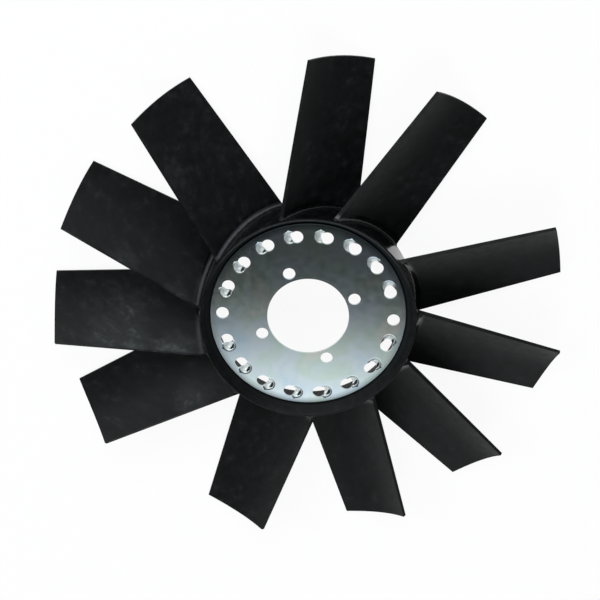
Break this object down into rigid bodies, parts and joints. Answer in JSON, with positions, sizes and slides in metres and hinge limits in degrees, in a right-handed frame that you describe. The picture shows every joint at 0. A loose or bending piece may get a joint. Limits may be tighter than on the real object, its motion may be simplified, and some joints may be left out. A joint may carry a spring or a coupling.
{
  "type": "axial fan impeller",
  "caption": "Axial cooling fan rotor with pitched, curved blades moulded round a pressed steel hub plate that has a large pilot bore, bolt holes and a ring of scooped vents.",
  "frame": {"origin": "centre of the pilot bore on the front face of the hub plate", "axes": "+Z along the bore axis to the front, which is the side that the hub plate is seen from; +X through one of the two plain vent holes"},
  "size_m": [0.4217, 0.421, 0.0451],
  "materials": {
    "moulded_nylon": "black glass-filled nylon, as moulded",
    "plated_steel": "zinc-plated and passivated, satin"
  },
  "bodies": {
    "root": {"impeller": "moulded_nylon", "hub_plate": "plated_steel"}
  },
  "joints": []
}
